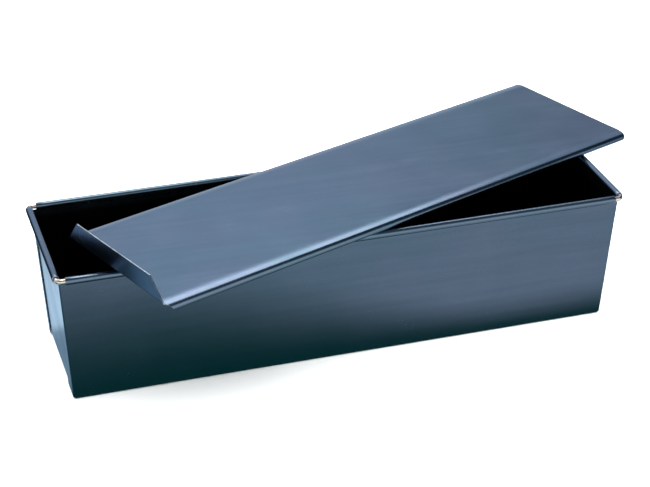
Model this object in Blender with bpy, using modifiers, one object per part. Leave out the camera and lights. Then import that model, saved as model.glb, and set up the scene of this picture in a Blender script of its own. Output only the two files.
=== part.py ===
"""Rectangular blued-steel loaf pan with wired rims, and its loose sheet-metal lid.

The origin is the centre of the pan's underside. +X runs along the pan and +Z is up. The lid lies askew on
the rims, with its upturned flange at the -X end. All sizes are in metres.
"""

import math

import bmesh
import bpy

MM = 0.001

# --- the pan ------------------------------------------------------------------------------------------
SHEET = 0.6 * MM  # thickness of the pan's sheet
GAP = 0.3 * MM  # clearance between two pieces that touch
LENGTH_FOOT = 391.6 * MM  # over the end panels, at the bottom
LENGTH_MOUTH = 402.4 * MM  # over the end panels, at wall height
WIDTH_FOOT = 96.6 * MM  # over the long walls, at the bottom
WIDTH_MOUTH = 108.6 * MM  # over the long walls, at wall height
WALL_HEIGHT = 97.0 * MM  # height at which the mouth sizes hold

FOLD_RADIUS = 1.3 * MM  # outside radius of the folds along the bottom and at the upright corners
FOLD_STEPS = 5
WIDE_LAP = 19.0 * MM  # corner flanges of the long walls, folded onto the ends: wide at two opposite corners
NARROW_LAP = 7.0 * MM  # and narrow at the other two
FOOT_FLANGE = 12.0 * MM  # end panel's foot, folded inward over the bottom

# --- the wired rim ------------------------------------------------------------------------------------
ROLL_HEIGHT = 97.7 * MM  # centre line of the rolled rims and of the wire
ROLL_RADIUS = 2.65 * MM  # outside radius of a roll
ROLL_TURN = math.radians(305)  # how far the sheet is rolled round the wire
ROLL_STEPS = 16
LONG_NOTCH = 5.6 * MM  # from the line of an end's wire to where a long side's roll stops
END_NOTCH = 4.0 * MM  # from the line of a long side's wire to where an end's roll stops
NOTCH_HEIGHT = 94.6 * MM  # plain edge of the ends and of the corner flanges, under the bare wire
TAB_HEIGHT = 96.6 * MM  # plain edge of a long wall between its roll and its corner fold
WIRE_RADIUS = 1.8 * MM
WIRE_BEND = 3.2 * MM  # centre-line radius of the wire's corners
WIRE_BEND_STEPS = 6

# --- the lid ------------------------------------------------------------------------------------------
LID_SHEET = 0.8 * MM
LID_LENGTH = 415.6 * MM
LID_WIDTH = 120.4 * MM
CURL_RADIUS = 3.4 * MM  # outside radius of the curls along the lid's long sides
CURL_TURN = math.radians(205)
CURL_STEPS = 12
CURL_MITRE = 0.77  # the curl's end at the flange is cut back this much for each unit along its turn
CURL_TRIM = 0.25  # and its other end this much
FLANGE_HEIGHT = 15.6 * MM  # upturned flange, above the lid's top face
FLANGE_LEAN = math.radians(4.7)  # outward from upright
FLANGE_CHAMFER = 12.8 * MM  # how far each end of the flange is cut back at its top
FLANGE_FOLD = 1.4 * MM  # outside radius of the flange's fold
FLANGE_STEPS = 4
LID_CENTRE = (28.1 * MM, 6.6 * MM)  # where the lid lies, in plan
LID_YAW = math.radians(20.8)

BLUED_STEEL = (0.10, 0.15, 0.21, 1.0)
LID_STEEL = (0.14, 0.21, 0.31, 1.0)
BARE_WIRE = (0.72, 0.66, 0.62, 1.0)
SMOOTH_BELOW = math.radians(30)  # folds are shaded smooth, and cut edges stay sharp


# --- scene and materials ------------------------------------------------------------------------------
def clear_scene():
    for obj in list(bpy.data.objects):
        bpy.data.objects.remove(obj, do_unlink=True)


def new_collection(name):
    collection = bpy.data.collections.new(name)
    bpy.context.scene.collection.children.link(collection)
    return collection


def new_material(name, colour, roughness):
    material = bpy.data.materials.new(name)
    material.use_nodes = True
    shader = material.node_tree.nodes["Principled BSDF"]
    shader.inputs["Base Color"].default_value = colour
    shader.inputs["Roughness"].default_value = roughness
    shader.inputs["Metallic"].default_value = 1.0
    material.diffuse_color = colour
    return material


# --- outlines -----------------------------------------------------------------------------------------
def arc(centre, radius, start, turn, steps):
    """Points on an arc, both ends included. Angles are in radians."""
    angles = [start + turn * i / steps for i in range(steps + 1)]
    return [(centre[0] + radius * math.cos(a), centre[1] + radius * math.sin(a)) for a in angles]


def from_end_to_end(half, place):
    """A symmetric row of points: 'half' runs from its +x end to the middle, and 'place' makes a point."""
    return [place(-x, y) for x, y in half] + [place(x, y) for x, y in reversed(half)]


class Wall:
    """A leaning wall's mid-surface, seen along the wall: 'out' is the distance from the pan's middle."""

    def __init__(self, width_foot, width_mouth):
        self.lean = math.atan2(0.5 * (width_mouth - width_foot), WALL_HEIGHT)
        self.foot = 0.5 * width_foot - 0.5 * SHEET / math.cos(self.lean)

    def out_at(self, height):
        return self.foot + height * math.tan(self.lean)

    def wire_out(self):
        """The roll's centre line lies where the rolled sheet is tangent to the wall."""
        return self.out_at(ROLL_HEIGHT) + (ROLL_RADIUS - 0.5 * SHEET) / math.cos(self.lean)

    def roll(self):
        """(out, height) points from the wall's top, over the wire and back in under it."""
        centre = (self.wire_out(), ROLL_HEIGHT)
        return arc(centre, ROLL_RADIUS - 0.5 * SHEET, math.pi - self.lean, -ROLL_TURN, ROLL_STEPS)

    def fold(self, underside):
        """(out, height) points from the wall to a flat bottom whose lower face is at 'underside'."""
        radius = FOLD_RADIUS - 0.5 * SHEET
        height = underside + FOLD_RADIUS
        centre = (self.out_at(height) - radius / math.cos(self.lean), height)
        return arc(centre, radius, -self.lean, self.lean - 0.5 * math.pi, FOLD_STEPS)


LONG_WALL = Wall(WIDTH_FOOT, WIDTH_MOUTH)
END_WALL = Wall(LENGTH_FOOT, LENGTH_MOUTH)
LAP_OFFSET = SHEET + GAP  # the corner flanges lie this far outside the end panels


# --- sheet metal --------------------------------------------------------------------------------------
class Sheet:
    """An open surface made of strips, which meet where their points coincide. Solidify gives it its gauge."""

    def __init__(self):
        self.surface = bmesh.new()
        self.made = {}

    def corner(self, point):
        key = tuple(round(value / (0.0001 * MM)) for value in point)
        if key not in self.made:
            self.made[key] = self.surface.verts.new(point)
        return self.made[key]

    def strips(self, rows):
        """Faces between rows that have the same number of points. Points that coincide give triangles."""
        for first, second in zip(rows, rows[1:]):
            for points in zip(first, first[1:], second[1:], second):
                corners = list(dict.fromkeys(self.corner(point) for point in points))
                if len(corners) > 2:
                    self.surface.faces.new(corners)

    def finish(self, name, collection, material, thickness):
        bmesh.ops.recalc_face_normals(self.surface, faces=self.surface.faces)
        data = bpy.data.meshes.new(name)
        self.surface.to_mesh(data)
        self.surface.free()
        data.materials.append(material)
        data.shade_smooth()
        data.set_sharp_from_angle(angle=SMOOTH_BELOW)
        obj = bpy.data.objects.new(name, data)
        collection.objects.link(obj)
        gauge = obj.modifiers.new("gauge", "SOLIDIFY")
        gauge.thickness = thickness
        gauge.offset = 0.0
        gauge.use_even_offset = True
        return obj


# --- the pan's pieces ---------------------------------------------------------------------------------
def build_trough(collection, material):
    """Bottom and both long walls in one sheet, with rolled rims and a flange round each upright corner."""
    sheet = Sheet()
    bend = FOLD_RADIUS - 0.5 * SHEET
    roll_end = END_WALL.wire_out() - LONG_NOTCH
    shoulder = END_WALL.out_at(NOTCH_HEIGHT) + LAP_OFFSET - bend - roll_end
    bottom_end = END_WALL.out_at(0.0) + LAP_OFFSET - bend
    fold = LONG_WALL.fold(0.0)
    for side in (-1, 1):

        def level_row(height, side=side):
            out = LONG_WALL.out_at(height)
            end = END_WALL.out_at(height) + LAP_OFFSET
            corner = arc((end - bend, out - bend), bend, 0.0, 0.5 * math.pi, FOLD_STEPS)
            corner.append((end - bend - shoulder, out))
            laps = [WIDE_LAP if along == side else NARROW_LAP for along in (-1, 1)]
            left, right = ([(end, out - lap)] + corner for lap in laps)
            row = [(-x, side * y, height) for x, y in left]
            return row + [(x, side * y, height) for x, y in reversed(right)]

        def cross_row(out, height, ends, side=side):
            return from_end_to_end([(x, out) for x in ends], lambda x, y: (x, side * y, height))

        wall_foot = level_row(fold[0][1])
        sheet.strips([wall_foot, level_row(NOTCH_HEIGHT)])
        notch, tab = ((LONG_WALL.out_at(height), height) for height in (NOTCH_HEIGHT, TAB_HEIGHT))
        sheet.strips([cross_row(*point, [roll_end + shoulder, roll_end]) for point in (notch, tab)])
        sheet.strips([cross_row(*point, [roll_end]) for point in [tab] + LONG_WALL.roll()])
        flange_points = FOLD_STEPS + 1
        bottom_ends = [bottom_end, bottom_end - shoulder]
        sheet.strips([wall_foot[flange_points:-flange_points]]
                     + [cross_row(*point, bottom_ends) for point in fold[1:]]
                     + [cross_row(0.0, fold[-1][1], bottom_ends)])
    return sheet.finish("trough", collection, material, SHEET)


def build_end_panel(name, side, collection, material):
    """An end in one sheet: foot folded inward over the bottom, rim rolled outward round the wire."""
    sheet = Sheet()
    roll_end = LONG_WALL.wire_out() - END_NOTCH

    def edge_at(height):
        """Half the panel's width, which stops short of the fold at the upright corner."""
        return LONG_WALL.out_at(height) + 0.5 * SHEET - FOLD_RADIUS

    shoulder = edge_at(NOTCH_HEIGHT) - roll_end

    def cross_row(out, height, ends):
        return from_end_to_end([(y, out) for y in ends], lambda y, x: (side * x, y, height))

    def full_row(out, height, edge):
        return cross_row(out, height, [edge, edge - shoulder])

    fold = END_WALL.fold(SHEET + GAP)
    foot = (fold[-1][0] - FOOT_FLANGE, fold[-1][1])
    notch = (END_WALL.out_at(NOTCH_HEIGHT), NOTCH_HEIGHT)
    sheet.strips([full_row(*notch, edge_at(NOTCH_HEIGHT)), full_row(*fold[0], edge_at(fold[0][1]))]
                 + [full_row(*point, edge_at(0.0)) for point in fold[1:] + [foot]])
    sheet.strips([cross_row(*point, [roll_end]) for point in [notch] + END_WALL.roll()])
    return sheet.finish(name, collection, material, SHEET)


def build_rim_wire(collection, material):
    """One closed loop of round wire. The rolls hold it, and its corners lie bare in the notches."""
    half_x, half_y = END_WALL.wire_out(), LONG_WALL.wire_out()
    points = []
    for quarter in range(4):
        across, along = ((1, 1), (-1, 1), (-1, -1), (1, -1))[quarter]
        centre = (across * (half_x - WIRE_BEND), along * (half_y - WIRE_BEND))
        points += arc(centre, WIRE_BEND, 0.5 * math.pi * quarter, 0.5 * math.pi, WIRE_BEND_STEPS)
    curve = bpy.data.curves.new("rim_wire", "CURVE")
    curve.dimensions = "3D"
    curve.bevel_depth = WIRE_RADIUS
    curve.bevel_resolution = 3
    spline = curve.splines.new("POLY")
    spline.points.add(len(points) - 1)
    for control, (x, y) in zip(spline.points, points):
        control.co = (x, y, ROLL_HEIGHT, 1.0)
    spline.use_cyclic_u = True
    curve.materials.append(material)
    obj = bpy.data.objects.new("rim_wire", curve)
    collection.objects.link(obj)
    return obj


# --- the lid ------------------------------------------------------------------------------------------
def build_lid(collection, material):
    """One sheet: flat top, a curl along each long side, and a chamfered flange turned up at the -x end."""
    sheet = Sheet()
    middle = -0.5 * LID_SHEET
    curl_out = 0.5 * LID_WIDTH - CURL_RADIUS
    fold_height = FLANGE_FOLD - LID_SHEET
    fold_x = (FLANGE_FOLD - fold_height * math.sin(FLANGE_LEAN)) / math.cos(FLANGE_LEAN) - 0.5 * LID_LENGTH
    fold = arc((fold_x, fold_height), FLANGE_FOLD + middle, FLANGE_LEAN - math.pi,
               0.5 * math.pi - FLANGE_LEAN, FLANGE_STEPS)
    top_x = fold[0][0] - (FLANGE_HEIGHT - fold[0][1]) * math.tan(FLANGE_LEAN)

    def across(x, height, chamfered):
        outer = curl_out - (FLANGE_CHAMFER if chamfered else 0.0)
        half = [outer, curl_out - FLANGE_CHAMFER]
        return [(x, y, height) for y in (-half[0], -half[1], half[1], half[0])]

    sheet.strips([across(top_x, FLANGE_HEIGHT, True)]
                 + [across(x, height, False) for x, height in fold + [(0.5 * LID_LENGTH, middle)]])
    for side in (-1, 1):
        curl = arc((curl_out, -CURL_RADIUS), CURL_RADIUS + middle, 0.5 * math.pi, -CURL_TURN, CURL_STEPS)
        step = CURL_TURN * (CURL_RADIUS + middle) / CURL_STEPS
        rows = []
        for i, (y, height) in enumerate(curl):
            ends = (fold_x + CURL_MITRE * i * step, 0.5 * LID_LENGTH - CURL_TRIM * i * step)
            rows.append([(x, side * y, height) for x in ends])
        sheet.strips(rows)
    lid = sheet.finish("lid", collection, material, LID_SHEET)
    rim_top = ROLL_HEIGHT + ROLL_RADIUS
    lid.location = (*LID_CENTRE, rim_top + GAP + 2.0 * CURL_RADIUS)
    lid.rotation_euler = (0.0, 0.0, LID_YAW)
    return lid


def main():
    clear_scene()
    parts = new_collection("loaf_pan")
    blued = new_material("blued_steel", BLUED_STEEL, 0.35)
    bare = new_material("bare_wire", BARE_WIRE, 0.25)
    build_trough(parts, blued)
    build_end_panel("left_end_panel", -1, parts, blued)
    build_end_panel("right_end_panel", 1, parts, blued)
    build_rim_wire(parts, bare)
    build_lid(parts, new_material("lid_steel", LID_STEEL, 0.3))


main()
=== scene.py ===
"""The looks of the loaf pan: blued sheet steel with wired rims, and its loose lid.

Everything is in metres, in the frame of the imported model. Sizes that the model holds are read from it.
"""

import math

import bmesh
import bpy
from mathutils import Matrix, Vector, noise


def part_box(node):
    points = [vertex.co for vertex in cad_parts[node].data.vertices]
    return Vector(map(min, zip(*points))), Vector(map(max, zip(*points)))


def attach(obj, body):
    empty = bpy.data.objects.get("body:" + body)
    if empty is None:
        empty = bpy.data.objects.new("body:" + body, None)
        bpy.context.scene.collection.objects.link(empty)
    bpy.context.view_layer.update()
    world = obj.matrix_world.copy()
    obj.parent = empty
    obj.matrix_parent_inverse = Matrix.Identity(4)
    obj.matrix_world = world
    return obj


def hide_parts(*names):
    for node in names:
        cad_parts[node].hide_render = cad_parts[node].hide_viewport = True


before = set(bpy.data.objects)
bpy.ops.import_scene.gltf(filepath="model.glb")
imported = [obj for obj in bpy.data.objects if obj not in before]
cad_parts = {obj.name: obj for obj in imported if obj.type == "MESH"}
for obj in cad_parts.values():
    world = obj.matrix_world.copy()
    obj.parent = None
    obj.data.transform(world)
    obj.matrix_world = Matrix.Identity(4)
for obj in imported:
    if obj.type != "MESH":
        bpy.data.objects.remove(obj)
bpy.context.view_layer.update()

MM = 0.001

# --- gauges and fold radii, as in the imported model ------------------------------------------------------
SHEET = 0.6 * MM
LID_SHEET = 0.8 * MM
WIRE_RADIUS = 1.8 * MM
WIRE_BEND = 3.2 * MM
FOLD_RADIUS = 1.3 * MM
WIDE_LAP = 19.0 * MM
NARROW_LAP = 7.0 * MM
FOOT_FLANGE = 12.0 * MM
LONG_NOTCH = 5.6 * MM
END_NOTCH = 4.0 * MM
TAB_HEIGHT = 96.6 * MM
ROLL_TURN = math.radians(305)
LID_YAW = math.radians(20.8)
FLANGE_LEAN = math.radians(4.7)
FLANGE_CHAMFER = 12.8 * MM
FLANGE_FOLD = 1.4 * MM
CURL_RADIUS = 3.4 * MM
CURL_TURN = math.radians(205)
CURL_MITRE = 0.77
CURL_TRIM = 0.25

# --- finer shape than the model's facets ----------------------------------------------------------------
FOLD_STEPS = 10
ROLL_STEPS = 44
CURL_STEPS = 30
SHOULDER_RADIUS = 30.0 * MM  # the lid's sheet eases into its curls
SHOULDER_TURN = math.radians(15)
SHOULDER_STEPS = 12
KNEE_RADIUS = 1.6 * MM  # rounded corners of the lid's flange
FLANGE_FOLD_STEPS = 8
KNEE_STEPS = 6
WALL_COLUMNS = 21  # faces from the shoulder of a long wall to its middle
END_COLUMNS = 13  # and of an end
WIRE_BEND_STEPS = 14
WIRE_ROUNDNESS = 10
EDGE_ROUND = 0.13 * MM  # broken edge of the cut sheet
CUT_EDGE_ANGLE = math.radians(60)  # edges sharper than this are cut edges
WELD_RADIUS = 2.2 * MM
WELD_DEPTH = 0.16 * MM
WELD_HEIGHTS = (14.0 * MM, 37.0 * MM, 60.0 * MM, 83.0 * MM)
WAVE = 0.10 * MM  # how far the flat sheet stands out of true
WAVE_SCALE = 14.0  # how closely its waves follow each other, per metre
WALL_SEED, BOTTOM_SEED, END_SEED, LID_SEED = 3.0, 5.0, 9.0, 17.0
# Heights at which the waves start, are full, are still full and have died out.
WALL_WAVES = (3.0 * MM, 16.0 * MM, 80.0 * MM, 94.0 * MM)
END_WAVES = (6.0 * MM, 18.0 * MM, 80.0 * MM, 92.0 * MM)
INNER_SHADE_FROM = 97.5 * MM  # painted shade: the near-black of the pan's inside starts here and is full further down
INNER_SHADE_FULL = 90.0 * MM


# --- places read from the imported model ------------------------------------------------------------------
def reach(node, axis, low, high):
    """(furthest distance from the middle plane, its height) over a node's points in a band of heights."""
    points = [v.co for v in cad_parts[node].data.vertices if low <= v.co.z <= high]
    furthest = max(points, key=lambda point: abs(point[axis]))
    return abs(furthest[axis]), furthest.z


class Wall:
    """A leaning wall's mid-surface, from two levels of the model's outer face."""

    def __init__(self, node, axis, foot_band, mouth_band):
        foot, low = reach(node, axis, *foot_band)
        mouth, high = reach(node, axis, *mouth_band)
        self.lean = math.atan2(mouth - foot, high - low)
        self.foot = foot - low * math.tan(self.lean) - 0.5 * SHEET / math.cos(self.lean)
        self.notch = high
        self.roll_radius = 0.0
        self.roll_centre = (0.0, 0.0)

    def out_at(self, height):
        return self.foot + height * math.tan(self.lean)

    def set_roll(self, wire_out, wire_height, outside):
        self.roll_radius = outside - wire_out
        middle = self.roll_radius - 0.5 * SHEET
        self.roll_centre = (self.out_at(wire_height) + middle / math.cos(self.lean), wire_height)

    def roll(self):
        start = math.pi - self.lean
        return arc(self.roll_centre, self.roll_radius - 0.5 * SHEET, start, -ROLL_TURN, ROLL_STEPS)

    def fold(self, underside):
        radius = FOLD_RADIUS - 0.5 * SHEET
        height = underside + FOLD_RADIUS
        centre = (self.out_at(height) - radius / math.cos(self.lean), height)
        return arc(centre, radius, -self.lean, self.lean - 0.5 * math.pi, FOLD_STEPS)


def arc(centre, radius, start, turn, steps):
    """Points on an arc, both ends included. Angles are in radians."""
    angles = [start + turn * i / steps for i in range(steps + 1)]
    return [(centre[0] + radius * math.cos(a), centre[1] + radius * math.sin(a)) for a in angles]


def graded(start, end, step, margin):
    """Values from start to end about a step apart, with a short first and last stretch."""
    sign = 1.0 if end > start else -1.0
    inner, outer = start + sign * margin, end - sign * margin
    count = max(1, round(abs(outer - inner) / step))
    return [start] + [inner + (outer - inner) * i / count for i in range(count + 1)] + [end]


FOOT_BAND = (1.0 * MM, 3.6 * MM)
NOTCH_BAND = (94.0 * MM, 95.0 * MM)
wire_low, wire_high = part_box("rim_wire")
WIRE_HEIGHT = 0.5 * (wire_low.z + wire_high.z)
long_wall = Wall("trough", 1, FOOT_BAND, NOTCH_BAND)
long_wall.set_roll(wire_high.y - WIRE_RADIUS, WIRE_HEIGHT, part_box("trough")[1].y)
end_wall = Wall("right_end_panel", 0, FOOT_BAND, NOTCH_BAND)
end_wall.set_roll(wire_high.x - WIRE_RADIUS, WIRE_HEIGHT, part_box("right_end_panel")[1].x)
LAP_OFFSET = reach("trough", 0, *NOTCH_BAND)[0] - reach("right_end_panel", 0, *NOTCH_BAND)[0]
PANEL_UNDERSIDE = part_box("right_end_panel")[0].z


# --- sheet metal ----------------------------------------------------------------------------------------
class Sheet:
    """An open surface made of strips, which meet where their points coincide."""

    def __init__(self):
        self.surface = bmesh.new()
        self.made = {}

    def corner(self, point):
        key = tuple(round(value / (0.001 * MM)) for value in point)
        if key not in self.made:
            self.made[key] = self.surface.verts.new(point)
        return self.made[key]

    def strips(self, rows):
        for first, second in zip(rows, rows[1:]):
            for points in zip(first, first[1:], second[1:], second):
                corners = list(dict.fromkeys(self.corner(point) for point in points))
                if len(corners) > 2:
                    self.surface.faces.new(corners)

    def finish(self, name, thickness, worked):
        """The sheet as a solid with its cut edges broken. 'worked' moves each point out of true."""
        for vertex in self.surface.verts:
            vertex.co += worked(vertex.co)
        bmesh.ops.recalc_face_normals(self.surface, faces=self.surface.faces)
        data = bpy.data.meshes.new(name + "_surface")
        self.surface.to_mesh(data)
        self.surface.free()
        obj = bpy.data.objects.new(name, data)
        bpy.context.scene.collection.objects.link(obj)
        gauge = obj.modifiers.new("gauge", "SOLIDIFY")
        gauge.thickness = thickness
        gauge.offset = 0.0
        gauge.use_even_offset = True
        gauge.material_offset_rim = 1
        broken = obj.modifiers.new("broken_edge", "BEVEL")
        broken.width = EDGE_ROUND
        broken.segments = 2
        broken.limit_method = "ANGLE"
        broken.angle_limit = CUT_EDGE_ANGLE
        for _ in ("sheet", "cut edge"):
            data.materials.append(None)
        bpy.context.view_layer.update()
        evaluated = obj.evaluated_get(bpy.context.evaluated_depsgraph_get())
        solid = bpy.data.meshes.new_from_object(evaluated)
        obj.modifiers.clear()
        obj.data = solid
        solid.name = name
        solid.shade_smooth()
        return obj


def mark(obj, name, value):
    """A number on each point of the mesh, which the materials read."""
    layer = obj.data.attributes.new(name, "FLOAT", "POINT")
    layer.data.foreach_set("value", [value(vertex.co) for vertex in obj.data.vertices])


def smooth_step(low, high, x):
    t = min(1.0, max(0.0, (x - low) / (high - low)))
    return t * t * (3.0 - 2.0 * t)


def mirrored(half, place):
    """A symmetric row: 'half' runs from its outer end to the middle, without the middle point."""
    return [place(-x, y) for x, y in half] + [place(x, y) for x, y in reversed(half)]


# --- how the sheets stand out of true -------------------------------------------------------------------
def wave(co, seed, amount):
    """How far a point stands out of true."""
    place = (co.x * WAVE_SCALE + seed, co.y * WAVE_SCALE, co.z * WAVE_SCALE)
    return amount * noise.noise(Vector(place))


def inside_window(value, half, fade):
    """0 at the half width, 1 from 'fade' further in."""
    return smooth_step(0.0, fade, half - abs(value))


def between(levels, height):
    """1 between the middle two levels, falling to 0 at the outer two."""
    start, full, still_full, end = levels
    return smooth_step(start, full, height) * smooth_step(end, still_full, height)


def weld_dent(along, height):
    """Depth of the spot-weld dimples down the middle of a corner flange."""
    depth = 0.0
    for centre in WELD_HEIGHTS:
        near = math.hypot(along, height - centre) / WELD_RADIUS
        depth += WELD_DEPTH * math.exp(-near ** 4)
    return depth


def worked_trough(co):
    side = math.copysign(1.0, co.y)
    lap_face = abs(co.x) > end_wall.out_at(co.z) + LAP_OFFSET - 0.01 * MM
    if lap_face and co.z < long_wall.notch:
        lap = WIDE_LAP if co.x * co.y > 0.0 else NARROW_LAP
        along = long_wall.out_at(co.z) - 0.5 * lap - abs(co.y)
        return Vector((-math.copysign(weld_dent(along, co.z), co.x), 0.0, 0.0))
    window = inside_window(co.x, end_wall.out_at(co.z), fade=12.0 * MM)
    wall = between(WALL_WAVES, co.z)
    if wall > 0.0:
        return Vector((0.0, side * window * wall * wave(co, WALL_SEED, WAVE), 0.0))
    if co.z < SHEET:
        bottom = inside_window(co.y, long_wall.foot, fade=12.0 * MM)
        return Vector((0.0, 0.0, window * bottom * (WAVE + wave(co, BOTTOM_SEED, WAVE))))
    return Vector()


def worked_end(co):
    window = inside_window(co.y, long_wall.out_at(co.z) - WIDE_LAP, fade=8.0 * MM)
    wall = between(END_WAVES, co.z)
    return Vector((math.copysign(1.0, co.x) * window * wall * wave(co, END_SEED, WAVE), 0.0, 0.0))


# --- the pan's sheets -----------------------------------------------------------------------------------
def wall_heights(low):
    return graded(low, long_wall.notch, step=1.6 * MM, margin=0.4 * MM)


def build_trough():
    sheet = Sheet()
    bend = FOLD_RADIUS - 0.5 * SHEET
    roll_end = end_wall.roll_centre[0] - LONG_NOTCH
    bottom_end = end_wall.out_at(0.0) + LAP_OFFSET - bend
    shoulder = end_wall.out_at(long_wall.notch) + LAP_OFFSET - bend - roll_end
    fold = long_wall.fold(0.0)
    middle = [1.0 - i / WALL_COLUMNS for i in range(WALL_COLUMNS)]
    for side in (-1, 1):
        widths = [WIDE_LAP if along == side else NARROW_LAP for along in (-1, 1)]
        laps = [graded(width, bend, step=1.0 * MM, margin=0.3 * MM)[:-1] for width in widths]

        def place(height):
            return lambda x, y: (x, side * y, height)

        def across(end, out):
            inner = end - shoulder
            outer = [(end, out), (end - 0.4 * MM, out), (0.5 * (end + inner), out)]
            return outer + [(inner * share, out) for share in middle]

        def level_row(height):
            out = long_wall.out_at(height)
            end = end_wall.out_at(height) + LAP_OFFSET
            corner = arc((end - bend, out - bend), bend, 0.0, 0.5 * math.pi, FOLD_STEPS)
            corner += across(end - bend, out)[1:]
            left, right = ([(end, out - y) for y in lap] + corner for lap in laps)
            row = [(-x, side * y, height) for x, y in left]
            return row + [(x, side * y, height) for x, y in reversed(right)]

        rows = [level_row(height) for height in wall_heights(fold[0][1])]
        sheet.strips(rows)
        tab = [(long_wall.out_at(height), height)
               for height in graded(long_wall.notch, TAB_HEIGHT, step=1.0 * MM, margin=0.4 * MM)]
        sheet.strips([mirrored(across(roll_end + shoulder, out), place(height)) for out, height in tab])
        sheet.strips([mirrored([(roll_end * share, out) for share in middle], place(height))
                      for out, height in tab[-1:] + long_wall.roll()])
        left, right = (len(lap) + FOLD_STEPS for lap in laps)
        bottom = [(out, fold[-1][1])
                  for out in graded(fold[-1][0], 0.0, step=4.0 * MM, margin=0.4 * MM)[1:]]
        lower = [mirrored(across(bottom_end, out), place(height)) for out, height in fold[1:] + bottom]
        sheet.strips([rows[0][left:-right]] + lower)
    return sheet.finish("pan_trough", SHEET, worked_trough)


def build_end_panel(name, side):
    sheet = Sheet()
    roll_end = long_wall.roll_centre[0] - END_NOTCH
    middle = [1.0 - i / END_COLUMNS for i in range(END_COLUMNS)]

    def edge_at(height):
        return long_wall.out_at(height) + 0.5 * SHEET - FOLD_RADIUS

    shoulder = edge_at(long_wall.notch) - roll_end

    def place(height):
        return lambda y, x: (side * x, y, height)

    def across(edge, out):
        inner = edge - shoulder
        outer = [(edge, out), (0.5 * (edge + inner), out)]
        return outer + [(inner * share, out) for share in middle]

    fold = end_wall.fold(PANEL_UNDERSIDE)
    heights = graded(long_wall.notch, fold[0][1], step=3.0 * MM, margin=0.4 * MM)
    sheet.strips([mirrored(across(edge_at(height), end_wall.out_at(height)), place(height))
                  for height in heights])
    foot_start, foot_height = fold[-1]
    foot = [(out, foot_height)
            for out in graded(foot_start, foot_start - FOOT_FLANGE, step=3.0 * MM, margin=0.3 * MM)]
    first = mirrored(across(edge_at(fold[0][1]), fold[0][0]), place(fold[0][1]))
    rest = [mirrored(across(edge_at(0.0), out), place(height)) for out, height in fold[1:] + foot[1:]]
    sheet.strips([first] + rest)
    notch = (end_wall.out_at(long_wall.notch), long_wall.notch)
    sheet.strips([mirrored([(roll_end * share, out) for share in middle], place(height))
                  for out, height in [notch] + end_wall.roll()])
    return sheet.finish(name, SHEET, worked_end)


def build_wire():
    """The closed loop of rim wire, as a smooth round tube."""
    half_x, half_y = end_wall.roll_centre[0], long_wall.roll_centre[0]
    path = []
    for quarter, (across, along) in enumerate(((1, 1), (-1, 1), (-1, -1), (1, -1))):
        centre = (across * (half_x - WIRE_BEND), along * (half_y - WIRE_BEND))
        path += arc(centre, WIRE_BEND, 0.5 * math.pi * quarter, 0.5 * math.pi, WIRE_BEND_STEPS)
    curve = bpy.data.curves.new("pan_rim_wire", "CURVE")
    curve.dimensions = "3D"
    curve.bevel_depth = WIRE_RADIUS
    curve.bevel_resolution = WIRE_ROUNDNESS
    spline = curve.splines.new("POLY")
    spline.points.add(len(path) - 1)
    for control, (x, y) in zip(spline.points, path):
        control.co = (x, y, WIRE_HEIGHT, 1.0)
    spline.use_cyclic_u = True
    maker = bpy.data.objects.new("wire_maker", curve)
    bpy.context.scene.collection.objects.link(maker)
    bpy.context.view_layer.update()
    evaluated = maker.evaluated_get(bpy.context.evaluated_depsgraph_get())
    data = bpy.data.meshes.new_from_object(evaluated)
    bpy.data.objects.remove(maker)
    data.shade_smooth()
    data.materials.clear()
    wire = bpy.data.objects.new("pan_rim_wire", data)
    bpy.context.scene.collection.objects.link(wire)
    return wire


# --- the lid --------------------------------------------------------------------------------------------
TURN_BACK = Matrix.Rotation(-LID_YAW, 4, "Z")
lid_points = [TURN_BACK @ vertex.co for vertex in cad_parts["lid"].data.vertices]
LID_RIGHT = max(point.x for point in lid_points)
LID_TOP = max(point.z for point in lid_points if point.x > LID_RIGHT - 1.0 * MM)
LID_DEPTH = LID_TOP - min(point.z for point in lid_points)
LID_SIDES = (min(point.y for point in lid_points), max(point.y for point in lid_points))
LID_HALF_WIDTH = 0.5 * (LID_SIDES[1] - LID_SIDES[0])
LID_MIDDLE = 0.5 * (LID_SIDES[1] + LID_SIDES[0])
flange_tip = min(lid_points, key=lambda point: point.x)
FLANGE_TOP = (flange_tip.x + 0.5 * LID_SHEET * math.cos(FLANGE_LEAN),
              flange_tip.z + 0.5 * LID_SHEET * math.sin(FLANGE_LEAN) - LID_TOP)


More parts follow.
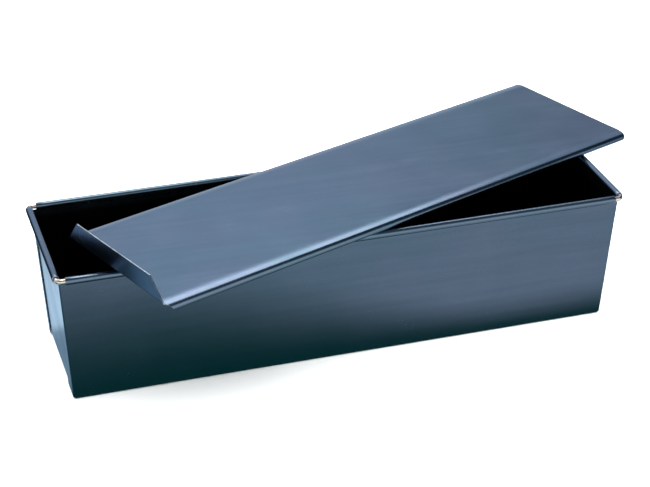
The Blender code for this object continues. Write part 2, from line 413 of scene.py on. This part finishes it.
def build_lid():
    """The lid's single sheet, made square to its own axes and then turned to where it lies."""
    sheet = Sheet()
    middle = -0.5 * LID_SHEET
    drop = SHOULDER_RADIUS * (1.0 - math.cos(SHOULDER_TURN))
    curl_mid = (LID_DEPTH - LID_SHEET - drop) / (1.0 + math.cos(SHOULDER_TURN))
    spread = (SHOULDER_RADIUS - curl_mid) * math.sin(SHOULDER_TURN)
    flat_half = LID_HALF_WIDTH - 0.5 * LID_SHEET - curl_mid - spread
    shoulder = arc((flat_half, middle - SHOULDER_RADIUS), SHOULDER_RADIUS, 0.5 * math.pi, -SHOULDER_TURN,
                   SHOULDER_STEPS)
    curl_height = middle - SHOULDER_RADIUS + (SHOULDER_RADIUS - curl_mid) * math.cos(SHOULDER_TURN)
    curl = arc((flat_half + spread, curl_height), curl_mid, 0.5 * math.pi - SHOULDER_TURN,
               SHOULDER_TURN - CURL_TURN, CURL_STEPS)
    # The flange is as wide as the shoulder's point nearest to the model's curl.
    reach_out = math.asin((LID_HALF_WIDTH - CURL_RADIUS - flat_half) / SHOULDER_RADIUS)
    base_step = round(SHOULDER_STEPS * reach_out / SHOULDER_TURN)
    base_half = shoulder[base_step][0]
    eased = [(y, height - middle) for y, height in shoulder[1:base_step + 1]]
    flat = graded(-flat_half, flat_half, step=4.0 * MM, margin=0.5 * MM)
    columns = [(-y, fall) for y, fall in reversed(eased)] + [(y, 0.0) for y in flat] + eased

    fold_mid = FLANGE_FOLD - 0.5 * LID_SHEET
    fold_height = FLANGE_FOLD - LID_SHEET
    rise = FLANGE_TOP[1] - fold_height
    fold_x = FLANGE_TOP[0] + (fold_mid + rise * math.sin(FLANGE_LEAN)) / math.cos(FLANGE_LEAN)
    fold = arc((fold_x, fold_height), fold_mid, FLANGE_LEAN - math.pi, 0.5 * math.pi - FLANGE_LEAN,
               FLANGE_FOLD_STEPS)
    base, top = fold[0], FLANGE_TOP[1]
    half_top = LID_HALF_WIDTH - CURL_RADIUS - FLANGE_CHAMFER
    slope = math.atan2(base_half - half_top, top - base[1])
    knee = KNEE_RADIUS * math.tan(0.25 * math.pi - 0.5 * slope)
    knee_height = knee * math.cos(slope)

    def half_at(height):
        """Half the flange's width: a straight chamfer, then the rounded knee."""
        from_top = top - height
        if from_top >= knee_height:
            return base_half - (height - base[1]) * math.tan(slope)
        return half_top - knee + math.sqrt(max(0.0, KNEE_RADIUS ** 2 - (KNEE_RADIUS - from_top) ** 2))

    def across(x, height, half=base_half, ease=1.0):
        return [(x, y * half / base_half, height + ease * fall) for y, fall in columns]

    heights = graded(base[1], top - knee_height, step=1.5 * MM, margin=0.4 * MM)
    heights += [top - knee_height * (1.0 - i / KNEE_STEPS) ** 2 for i in range(1, KNEE_STEPS + 1)]
    flange = [across(base[0] - (height - base[1]) * math.tan(FLANGE_LEAN), height, half_at(height),
                     (top - height) / (top - base[1])) for height in reversed(heights)]
    sheet.strips(flange + [across(x, height) for x, height in fold[1:]])
    plate_x = graded(fold_x, LID_RIGHT, step=6.0 * MM, margin=0.5 * MM)
    sheet.strips([[(x, y, middle) for y in flat] for x in plate_x])
    turned = [max(0.0, SHOULDER_RADIUS * SHOULDER_TURN * (i - base_step) / SHOULDER_STEPS)
              for i in range(SHOULDER_STEPS + 1)]
    turned += [turned[-1] + curl_mid * (CURL_TURN - SHOULDER_TURN) * (i + 1) / CURL_STEPS
               for i in range(CURL_STEPS)]
    for side in (-1, 1):
        rows = []
        for (y, height), length in zip(shoulder + curl[1:], turned):
            start, end = fold_x + CURL_MITRE * length, LID_RIGHT - CURL_TRIM * length
            stretch = (end - start) / (LID_RIGHT - fold_x)
            rows.append([(start + (x - fold_x) * stretch, side * y, height) for x in plate_x])
        sheet.strips(rows)

    def worked(co):
        if co.z > 0.0 or co.x < fold_x + 1.0 * MM:
            return Vector()
        window = inside_window(co.y, flat_half, fade=14.0 * MM)
        window *= smooth_step(fold_x, fold_x + 20.0 * MM, co.x)
        return Vector((0.0, 0.0, window * (wave(co, LID_SEED, WAVE) - WAVE)))

    lid = sheet.finish("lid_sheet", LID_SHEET, worked)
    lid.data.transform(Matrix.Rotation(LID_YAW, 4, "Z") @ Matrix.Translation((0.0, LID_MIDDLE, LID_TOP)))
    return lid


# --- materials ------------------------------------------------------------------------------------------
# Each steel has two close colours, which its material mixes.
PAN_BLUES = ((0.120, 0.185, 0.265, 1.0), (0.150, 0.195, 0.290, 1.0))
LID_BLUES = ((0.135, 0.215, 0.305, 1.0), (0.160, 0.210, 0.320, 1.0))
CUT_STEEL = ((0.42, 0.47, 0.52, 1.0), (0.16, 0.20, 0.25, 1.0))
WIRE_STEEL = ((0.86, 0.77, 0.75, 1.0), (0.52, 0.39, 0.37, 1.0))
LINE_SHADE = (0.78, 0.80, 0.82, 1.0)  # multiplies the blue in the rolling lines
SCUFF_BLUE = (0.30, 0.37, 0.45, 1.0)
# painted shade: the near-black of the pan's shaded inside
INNER_SHADE_BLACK = (0.010, 0.011, 0.013, 1.0)
ROLLED = (0.04, 1.0, 1.0)  # the lines of rolling run along X
SCUFFED = (0.35, 1.0, 1.0)
# Places in a colour Mix node's sockets.
MIX_FACTOR, MIX_FIRST, MIX_SECOND, MIX_RESULT = 0, 6, 7, 2


class Nodes:
    """A material's node tree with short ways to add and join nodes."""

    def __init__(self, name):
        self.material = bpy.data.materials.new(name)
        self.material.use_nodes = True
        self.tree = self.material.node_tree
        self.shader = self.tree.nodes["Principled BSDF"]
        self.place = self.add("ShaderNodeTexCoord").outputs["Object"]

    def add(self, kind, **settings):
        node = self.tree.nodes.new(kind)
        for key, value in settings.items():
            setattr(node, key, value)
        return node

    def join(self, output, socket):
        self.tree.links.new(output, socket)

    def stretched(self, scale):
        node = self.add("ShaderNodeMapping")
        node.inputs["Scale"].default_value = scale
        self.join(self.place, node.inputs["Vector"])
        return node.outputs["Vector"]

    def noise(self, scale, detail=4.0, rough=0.55, vector=None):
        node = self.add("ShaderNodeTexNoise")
        node.inputs["Scale"].default_value = scale
        node.inputs["Detail"].default_value = detail
        node.inputs["Roughness"].default_value = rough
        self.join(vector or self.place, node.inputs["Vector"])
        return node.outputs["Fac"]

    def spread(self, value, low, high, to_low=0.0, to_high=1.0):
        node = self.add("ShaderNodeMapRange", clamp=True)
        self.join(value, node.inputs["Value"])
        limits = {"From Min": low, "From Max": high, "To Min": to_low, "To Max": to_high}
        for socket, number in limits.items():
            node.inputs[socket].default_value = number
        return node.outputs["Result"]

    def combine(self, operation, first, second):
        node = self.add("ShaderNodeMath", operation=operation)
        for socket, value in zip(node.inputs, (first, second)):
            if isinstance(value, float):
                socket.default_value = value
            else:
                self.join(value, socket)
        return node.outputs["Value"]

    def mix(self, factor, first, second):
        node = self.add("ShaderNodeMix", data_type="RGBA")
        for index, value in ((MIX_FACTOR, factor), (MIX_FIRST, first), (MIX_SECOND, second)):
            socket = node.inputs[index]
            if isinstance(value, (float, tuple)):
                socket.default_value = value
            else:
                self.join(value, socket)
        return node.outputs[MIX_RESULT]

    def bump(self, height, strength, distance):
        node = self.add("ShaderNodeBump")
        node.inputs["Strength"].default_value = strength
        node.inputs["Distance"].default_value = distance
        self.join(height, node.inputs["Height"])
        self.join(node.outputs["Normal"], self.shader.inputs["Normal"])

    def attribute(self, name):
        return self.add("ShaderNodeAttribute", attribute_name=name).outputs["Fac"]


def blued_steel(name, cool, warm, painted_inner_shade=True):
    """Oxide-blued sheet: two close blues in clouds, faint rolling lines, fine grain and light scuffs."""
    nodes = Nodes(name)
    clouds = nodes.spread(nodes.noise(scale=9.0, detail=3.0), 0.35, 0.65)
    lines = nodes.noise(scale=220.0, detail=3.0, rough=0.6, vector=nodes.stretched(ROLLED))
    grain = nodes.noise(scale=1500.0, detail=2.0, rough=0.6)
    colour = nodes.mix(clouds, cool, warm)
    marks = nodes.combine("ADD", nodes.combine("MULTIPLY", lines, 0.45),
                          nodes.combine("MULTIPLY", grain, 0.55))
    shade = nodes.spread(marks, 0.32, 0.68)
    darker = nodes.mix(1.0, colour, LINE_SHADE)
    darker.node.blend_type = "MULTIPLY"
    colour = nodes.mix(shade, darker, colour)
    scratches = nodes.noise(scale=60.0, detail=6.0, rough=0.7, vector=nodes.stretched(SCUFFED))
    scuffs = nodes.spread(scratches, 0.66, 0.80, 0.0, 0.35)
    colour = nodes.mix(scuffs, colour, SCUFF_BLUE)
    patches = nodes.noise(scale=26.0, detail=4.0)
    rough = nodes.combine("ADD", nodes.spread(patches, 0.3, 0.7, 0.16, 0.24),
                          nodes.combine("MULTIPLY", grain, 0.06))
    # Painted shade: the pan's inner faces are mixed to near-black and made rougher, standing in for the
    # shade inside the pan.
    if painted_inner_shade:
        inner_shade_mask = nodes.attribute("painted_inner_shade")
        colour = nodes.mix(inner_shade_mask, colour, INNER_SHADE_BLACK)
        rough = nodes.combine("ADD", rough, nodes.combine("MULTIPLY", inner_shade_mask, 0.15))
    nodes.join(colour, nodes.shader.inputs["Base Color"])
    nodes.join(rough, nodes.shader.inputs["Roughness"])
    nodes.shader.inputs["Metallic"].default_value = 1.0
    relief = nodes.combine("ADD", nodes.combine("MULTIPLY", grain, 0.5), lines)
    nodes.bump(relief, strength=0.12, distance=0.06 * MM)
    return nodes.material


def bright_steel(name, colour, tarnish, low, high):
    """Bare steel with patchy tarnish and a fine grain. Its roughness is from low to high."""
    nodes = Nodes(name)
    patches = nodes.spread(nodes.noise(scale=240.0, detail=5.0, rough=0.65), 0.42, 0.68)
    nodes.join(nodes.mix(patches, colour, tarnish), nodes.shader.inputs["Base Color"])
    rough = nodes.spread(nodes.noise(scale=900.0, detail=3.0), 0.3, 0.7, low, high)
    nodes.join(rough, nodes.shader.inputs["Roughness"])
    nodes.shader.inputs["Metallic"].default_value = 1.0
    nodes.bump(nodes.noise(scale=1800.0, detail=2.0), strength=0.15, distance=0.04 * MM)
    return nodes.material


# --- putting it together --------------------------------------------------------------------------------
def painted_inner_shade_at(co):
    """1 on the pan's inner faces, which are painted near-black as shade inside the pan, fading out under
    the rim.
    """
    inside = abs(co.y) < long_wall.out_at(co.z) and abs(co.x) < end_wall.out_at(co.z)
    if not inside or co.z < 0.5 * SHEET:
        return 0.0
    return smooth_step(INNER_SHADE_FROM, INNER_SHADE_FULL, co.z)


def place_piece(obj, body, node, materials):
    for index, material in enumerate(materials):
        if index < len(obj.data.materials):
            obj.data.materials[index] = material
        else:
            obj.data.materials.append(material)
    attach(obj, body)
    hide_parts(node)


def build_object():
    pan_steel = blued_steel("pan_blued_steel", *PAN_BLUES)
    lid_steel = blued_steel("lid_blued_steel", *LID_BLUES, painted_inner_shade=False)
    cut_edge = bright_steel("cut_edge_steel", *CUT_STEEL, low=0.22, high=0.36)
    wire_steel = bright_steel("rim_wire_steel", *WIRE_STEEL, low=0.16, high=0.32)
    trough = build_trough()
    mark(trough, "painted_inner_shade", painted_inner_shade_at)
    place_piece(trough, "pan", "trough", [pan_steel, cut_edge])
    for node, side in (("left_end_panel", -1), ("right_end_panel", 1)):
        panel = build_end_panel("pan_" + node, side)
        mark(panel, "painted_inner_shade", painted_inner_shade_at)
        place_piece(panel, "pan", node, [pan_steel, cut_edge])
    place_piece(build_wire(), "pan", "rim_wire", [wire_steel])
    place_piece(build_lid(), "lid", "lid", [lid_steel, cut_edge])


# --- studio ---------------------------------------------------------------------------------------------
CAMERA_AZIMUTH = math.radians(-17.37)
CAMERA_ELEVATION = math.radians(28.51)
CAMERA_DISTANCE = 1.3394
CAMERA_TARGET = Vector((-0.00743, -0.02091, 0.07683))
CAMERA_LENS = 105.18
SENSOR_WIDTH = 36.0
NEAR_CLIP = 0.01
FLOOR_SIZE = 8.0
FLOOR_LEVEL = -0.3 * MM
CARD_LEVEL = -0.2 * MM  # the mirrored table, just over the floor
# (name, place, where it points, size, watts, colour)
FILL_LIGHT = ("overhead_fill", (0.0, 0.0, 1.6), (0.0, 0.0, 0.0), (3.0, 3.0), 150.0, (1.0, 1.0, 1.0))
SOFTBOXES = (("back_softbox", (0.0, 0.80, 1.26), (0.0, 0.0, 0.1), (1.5, 0.44), 6.5, (1.0, 0.88, 0.79)),
             ("top_softbox", (-0.02, 0.40, 1.35), (-0.02, 0.40, 0.0), (0.42, 0.85), 4.4,
              (1.0, 0.96, 0.76)))


def build_camera():
    back = Vector((math.sin(CAMERA_AZIMUTH) * math.cos(CAMERA_ELEVATION),
                   -math.cos(CAMERA_AZIMUTH) * math.cos(CAMERA_ELEVATION),
                   math.sin(CAMERA_ELEVATION)))
    data = bpy.data.cameras.new("camera")
    data.lens = CAMERA_LENS
    data.sensor_width = SENSOR_WIDTH
    data.clip_start = NEAR_CLIP
    camera = bpy.data.objects.new("camera", data)
    camera.location = CAMERA_TARGET + back * CAMERA_DISTANCE
    camera.rotation_euler = (-back).to_track_quat("-Z", "Y").to_euler()
    bpy.context.scene.collection.objects.link(camera)
    bpy.context.scene.camera = camera


def add_light(name, place, aim, size, energy, colour):
    data = bpy.data.lights.new(name, "AREA")
    data.shape = "RECTANGLE"
    data.size, data.size_y = size
    data.energy = energy
    data.color = colour
    light = bpy.data.objects.new(name, data)
    light.location = place
    light.rotation_euler = (Vector(aim) - Vector(place)).to_track_quat("-Z", "Y").to_euler()
    bpy.context.scene.collection.objects.link(light)
    return light


# --- the table as the steel mirrors it ------------------------------------------------------------------
SHADOW_TEAL = Vector((0.01, 0.11, 0.09))
SHADOW_BLUE = Vector((0.25, 0.40, 0.53))
TABLE_FRONT = Vector((0.70, 0.76, 0.76))
TABLE_FAR_FRONT = Vector((1.20, 1.25, 1.15))
TABLE_LEFT = Vector((0.79, 1.08, 1.32))
TABLE_BACK = Vector((1.00, 1.12, 1.15))
DARK_CORNER = Vector((0.03, 0.06, 0.08))
FRONT_FADE = 40.0 * MM  # depth of the shadow in front of the pan's right half
FRONT_FADE_MORE = 170.0 * MM  # and by how much it is deeper at the left
FRONT_FADE_X = (130.0 * MM, -170.0 * MM)  # between these two places along the pan
FRONT_FADE_POWER = 1.15
FAR_FRONT = (140.0 * MM, 280.0 * MM)  # distance in front over which the table grows paler
BACK_FADE = 70.0 * MM
LEFT_SIDE_X = (-150.0 * MM, -190.0 * MM)  # where the tones behind give way to those at the left end
LEFT_FADE = 12.0 * MM
LEFT_FADE_SHARE = 0.25  # how much of the depth along the end counts into that fade
LEFT_LIT_Y = (-10.0 * MM, 8.0 * MM)  # from the back wall's foot
LEFT_CORNER_X = (-230.0 * MM, -280.0 * MM)
LEFT_CORNER_Y = (60.0 * MM, 140.0 * MM)
RIGHT_CORNER_X = (320.0 * MM, 410.0 * MM)
RIGHT_CORNER_Y = (-150.0 * MM, -60.0 * MM)
CARD_LINES = (0.8, 1.2, 2.4)  # the card's outer lines, where it needs no detail


def far_right(x, y):
    """1 beyond the pan's right end, where the mirrored table is dimmed as painted shadow."""
    return smooth_step(*RIGHT_CORNER_X, x) * smooth_step(*RIGHT_CORNER_Y, y)


def floor_glow(x, y):
    """Colour of the table as the steel mirrors it: dim in the pan's own soft shadow, pale further out."""
    beyond_x = max(0.0, abs(x) - end_wall.foot)
    beyond_y = max(0.0, abs(y) - long_wall.foot)
    if y < -long_wall.foot:
        fade = FRONT_FADE + FRONT_FADE_MORE * smooth_step(*FRONT_FADE_X, x)
        lit = smooth_step(0.0, fade, beyond_y) ** FRONT_FADE_POWER
        near = SHADOW_TEAL.lerp(TABLE_FRONT, lit)
        near = near.lerp(TABLE_FAR_FRONT, smooth_step(*FAR_FRONT, beyond_y))
        return near.lerp(DARK_CORNER, far_right(x, y))
    lit = smooth_step(0.0, BACK_FADE, math.hypot(beyond_x, beyond_y))
    behind = SHADOW_TEAL.lerp(TABLE_BACK, lit)
    lit = smooth_step(long_wall.foot + LEFT_LIT_Y[0], long_wall.foot + LEFT_LIT_Y[1], y)
    away = beyond_x + LEFT_FADE_SHARE * (y + long_wall.foot)
    left = SHADOW_TEAL.lerp(SHADOW_BLUE, smooth_step(0.0, LEFT_FADE, away)).lerp(TABLE_LEFT, lit)
    far_left = smooth_step(*LEFT_CORNER_X, x) * smooth_step(*LEFT_CORNER_Y, y)
    left = left.lerp(DARK_CORNER, far_left)
    return behind.lerp(left, smooth_step(*LEFT_SIDE_X, x)).lerp(DARK_CORNER, far_right(x, y))


def build_mirrored_table():
    """What the steel mirrors below the horizon. Only glossy rays see it, so the floor itself stays pale."""
    near = graded(-0.5, 0.5, step=12.0 * MM, margin=2.0 * MM)
    lines = [-line for line in reversed(CARD_LINES)] + near + list(CARD_LINES)
    grid = bmesh.new()
    rows = [[grid.verts.new((x, y, CARD_LEVEL)) for x in lines] for y in lines]
    for first, second in zip(rows, rows[1:]):
        for corners in zip(first, first[1:], second[1:], second):
            grid.faces.new(corners)
    data = bpy.data.meshes.new("mirrored_table")
    grid.to_mesh(data)
    grid.free()
    glow = data.attributes.new("glow", "FLOAT_COLOR", "POINT")
    for vertex, colour in zip(data.vertices, glow.data):
        colour.color = (*floor_glow(vertex.co.x, vertex.co.y), 1.0)
    card = bpy.data.objects.new("mirrored_table", data)
    bpy.context.scene.collection.objects.link(card)
    for ray in ("camera", "diffuse", "transmission", "volume_scatter", "shadow"):
        setattr(card, "visible_" + ray, False)
    material = bpy.data.materials.new("mirrored_table")
    material.use_nodes = True
    nodes = material.node_tree.nodes
    nodes.remove(nodes["Principled BSDF"])
    emission = nodes.new("ShaderNodeEmission")
    attribute = nodes.new("ShaderNodeAttribute")
    attribute.attribute_name = "glow"
    links = material.node_tree.links
    links.new(attribute.outputs["Color"], emission.inputs["Color"])
    links.new(emission.outputs["Emission"], nodes["Material Output"].inputs["Surface"])
    data.materials.append(material)


# --- the sky that the steel mirrors ---------------------------------------------------------------------
# (height from -1 to 1, colour)
BACK_SKY = ((-0.05, (0.80, 0.88, 0.96)), (0.22, (0.80, 0.88, 0.96)), (0.32, (0.72, 0.78, 0.88)),
            (0.39, (0.55, 0.60, 0.72)), (0.47, (0.70, 0.82, 0.90)), (0.53, (0.78, 0.90, 0.98)),
            (0.62, (1.20, 1.30, 1.38)), (0.72, (1.00, 1.08, 1.15)), (0.80, (0.30, 0.34, 0.40)),
            (0.93, (0.16, 0.20, 0.22)))
FRONT_SKY = ((-0.05, (1.20, 1.25, 1.10)), (0.35, (1.10, 1.15, 1.05)), (0.50, (0.60, 0.64, 0.62)),
             (0.66, (0.12, 0.16, 0.18)), (0.95, (0.16, 0.20, 0.22)))


def sky_ramp(nodes, stops):
    """A colour ramp over the height, which is -1 straight down and 1 straight up."""
    ramp = nodes.new("ShaderNodeValToRGB")
    elements = ramp.color_ramp.elements
    for _ in stops[2:]:
        elements.new(0.5)
    for element, (height, _) in zip(elements, stops):
        element.position = 0.5 + 0.5 * height
    for element, (_, colour) in zip(elements, stops):
        element.color = (*colour, 1.0)
    return ramp


# (bearing from +Y towards +X, elevation, cosine where the dark starts, cosine where it is full, strength)
DARK_PATCHES = ((-40, 0, 0.90, 0.97, 1.0), (85, 20, 0.76, 0.84, 1.0), (95, 10, 0.84, 0.93, 0.9),
                (60, 28, 0.79, 0.86, 0.42))
FRONT_TO_BACK = (-0.35, 0.15)  # Y of a direction, over which the front sky turns into the back one


def darken(nodes, links, colour, bearing, elevation, low, high, strength):
    """Darkens a round patch of the sky."""
    bearing, elevation = math.radians(bearing), math.radians(elevation)
    along = nodes.new("ShaderNodeVectorMath")
    along.operation = "DOT_PRODUCT"
    links.new(nodes["Texture Coordinate"].outputs["Generated"], along.inputs[0])
    along.inputs[1].default_value = (math.sin(bearing) * math.cos(elevation),
                                     math.cos(bearing) * math.cos(elevation), math.sin(elevation))
    amount = nodes.new("ShaderNodeMapRange")
    amount.interpolation_type = "SMOOTHSTEP"
    amount.inputs["From Min"].default_value = low
    amount.inputs["From Max"].default_value = high
    amount.inputs["To Max"].default_value = strength
    links.new(along.outputs["Value"], amount.inputs["Value"])
    mix = nodes.new("ShaderNodeMix")
    mix.data_type = "RGBA"
    links.new(amount.outputs["Result"], mix.inputs[MIX_FACTOR])
    links.new(colour, mix.inputs[MIX_FIRST])
    mix.inputs[MIX_SECOND].default_value = (*DARK_CORNER, 1.0)
    return mix.outputs[MIX_RESULT]


def build_world():
    """A soft studio round the pan: pale low down, dark overhead, dimmer in front than behind."""
    world = bpy.data.worlds.new("studio")
    world.use_nodes = True
    nodes, links = world.node_tree.nodes, world.node_tree.links
    split = nodes.new("ShaderNodeSeparateXYZ")
    links.new(nodes.new("ShaderNodeTexCoord").outputs["Generated"], split.inputs["Vector"])
    height = nodes.new("ShaderNodeMapRange")
    height.inputs["From Min"].default_value = -1.0
    links.new(split.outputs["Z"], height.inputs["Value"])
    behind = nodes.new("ShaderNodeMapRange")
    behind.interpolation_type = "SMOOTHSTEP"
    behind.inputs["From Min"].default_value = FRONT_TO_BACK[0]
    behind.inputs["From Max"].default_value = FRONT_TO_BACK[1]
    links.new(split.outputs["Y"], behind.inputs["Value"])
    mix = nodes.new("ShaderNodeMix")
    mix.data_type = "RGBA"
    links.new(behind.outputs["Result"], mix.inputs[MIX_FACTOR])
    for socket, stops in ((MIX_FIRST, FRONT_SKY), (MIX_SECOND, BACK_SKY)):
        ramp = sky_ramp(nodes, stops)
        links.new(height.outputs["Result"], ramp.inputs["Fac"])
        links.new(ramp.outputs["Color"], mix.inputs[socket])
    dimmed = mix.outputs[MIX_RESULT]
    for patch in DARK_PATCHES:
        dimmed = darken(nodes, links, dimmed, *patch)
    links.new(dimmed, nodes["Background"].inputs["Color"])
    bpy.context.scene.world = world


def build_studio():
    bpy.context.scene.view_settings.view_transform = "Standard"
    bpy.ops.mesh.primitive_plane_add(size=FLOOR_SIZE, location=(0.0, 0.0, FLOOR_LEVEL))
    floor = bpy.context.object
    floor.name = "floor"
    floor.visible_glossy = False
    nodes = Nodes("floor_paper")
    nodes.shader.inputs["Roughness"].default_value = 0.9
    tone = nodes.spread(nodes.noise(scale=3.0, detail=2.0), 0.3, 0.7)
    paper = nodes.mix(tone, (0.86, 0.86, 0.86, 1.0), (0.88, 0.88, 0.88, 1.0))
    nodes.join(paper, nodes.shader.inputs["Base Color"])
    floor.data.materials.append(nodes.material)
    build_mirrored_table()
    build_world()
    add_light(*FILL_LIGHT).visible_glossy = False
    for softbox in SOFTBOXES:
        add_light(*softbox)


build_camera()
build_object()
build_studio()
